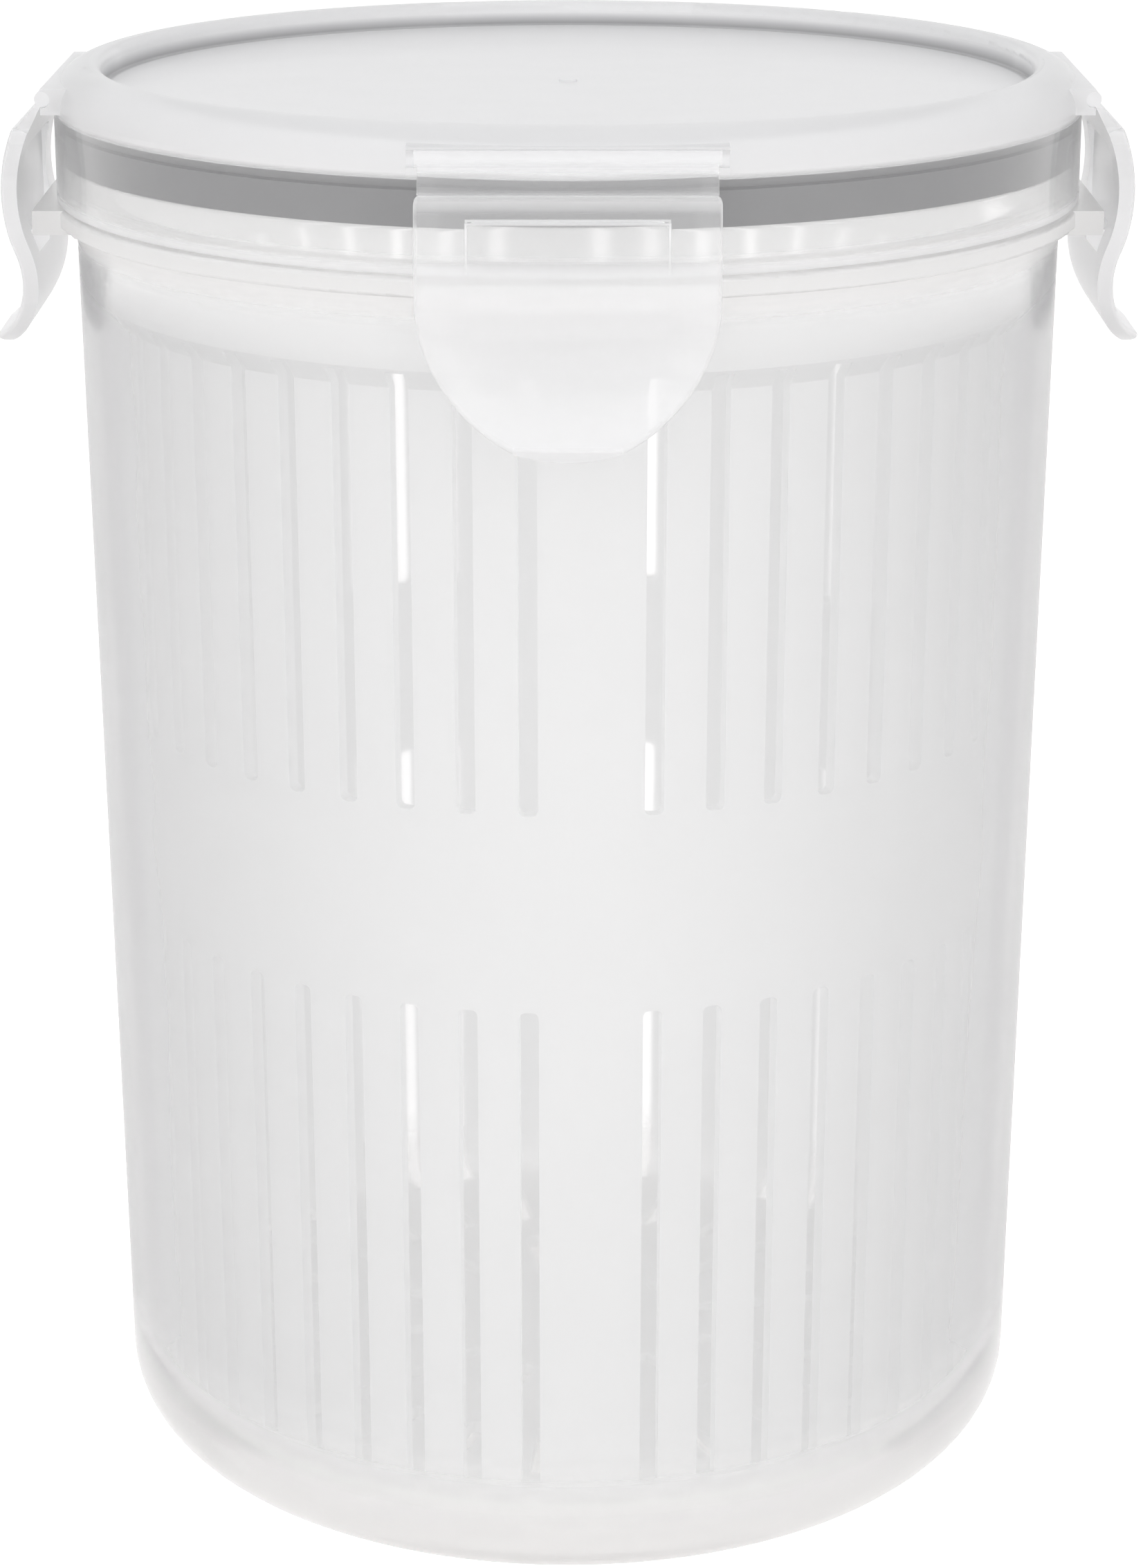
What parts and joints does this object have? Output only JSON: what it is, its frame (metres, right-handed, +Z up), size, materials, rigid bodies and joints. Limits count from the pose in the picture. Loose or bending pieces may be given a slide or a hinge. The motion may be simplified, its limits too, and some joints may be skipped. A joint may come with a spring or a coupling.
{
  "type": "pickle keeper with lift strainer",
  "caption": "Tall round food keeper with a lift-out strainer basket, a gasketed lid and snap latches that hook under lugs on the container's flange.",
  "frame": {"origin": "centre of the base, on the surface that the keeper stands on", "axes": "+Z up along the container's axis; +X towards the right latch, -Y towards the front latch"},
  "size_m": [0.1504, 0.1504, 0.1918],
  "materials": {
    "clear_plastic": "clear polypropylene, glossy",
    "white_plastic": "translucent white polypropylene, satin",
    "grey_silicone": "soft grey silicone"
  },
  "bodies": {
    "container": {"container": "clear_plastic"},
    "strainer": {"strainer": "white_plastic"},
    "lid": {"lid": "clear_plastic", "gasket": "grey_silicone"},
    "latch_front": {"latch_front": "clear_plastic"},
    "latch_right": {"latch_right": "clear_plastic"},
    "latch_back": {"latch_back": "clear_plastic"},
    "latch_left": {"latch_left": "clear_plastic"}
  },
  "joints": [
    {"name": "lid_lift", "type": "slide", "parent": "container", "child": "lid", "axis": [0, 0, 1], "range_m": [0, 0.24]},
    {"name": "strainer_lift", "type": "slide", "parent": "container", "child": "strainer", "axis": [0, 0, 1], "range_m": [0, 0.18]},
    {"name": "latch_front_hinge", "type": "hinge", "parent": "lid", "child": "latch_front", "pos_m": [0, -0.0667, 0.18855], "axis": [-1, 0, 0], "range_deg": [0, 110]},
    {"name": "latch_right_hinge", "type": "hinge", "parent": "lid", "child": "latch_right", "pos_m": [0.0667, 0, 0.18855], "axis": [0, -1, 0], "range_deg": [0, 110]},
    {"name": "latch_back_hinge", "type": "hinge", "parent": "lid", "child": "latch_back", "pos_m": [0, 0.0667, 0.18855], "axis": [1, 0, 0], "range_deg": [0, 110]},
    {"name": "latch_left_hinge", "type": "hinge", "parent": "lid", "child": "latch_left", "pos_m": [-0.0667, 0, 0.18855], "axis": [0, 1, 0], "range_deg": [0, 110]}
  ],
  "couplings": [
    {"joint": "strainer_lift", "follows": "lid_lift", "ratio": 0.75}
  ]
}
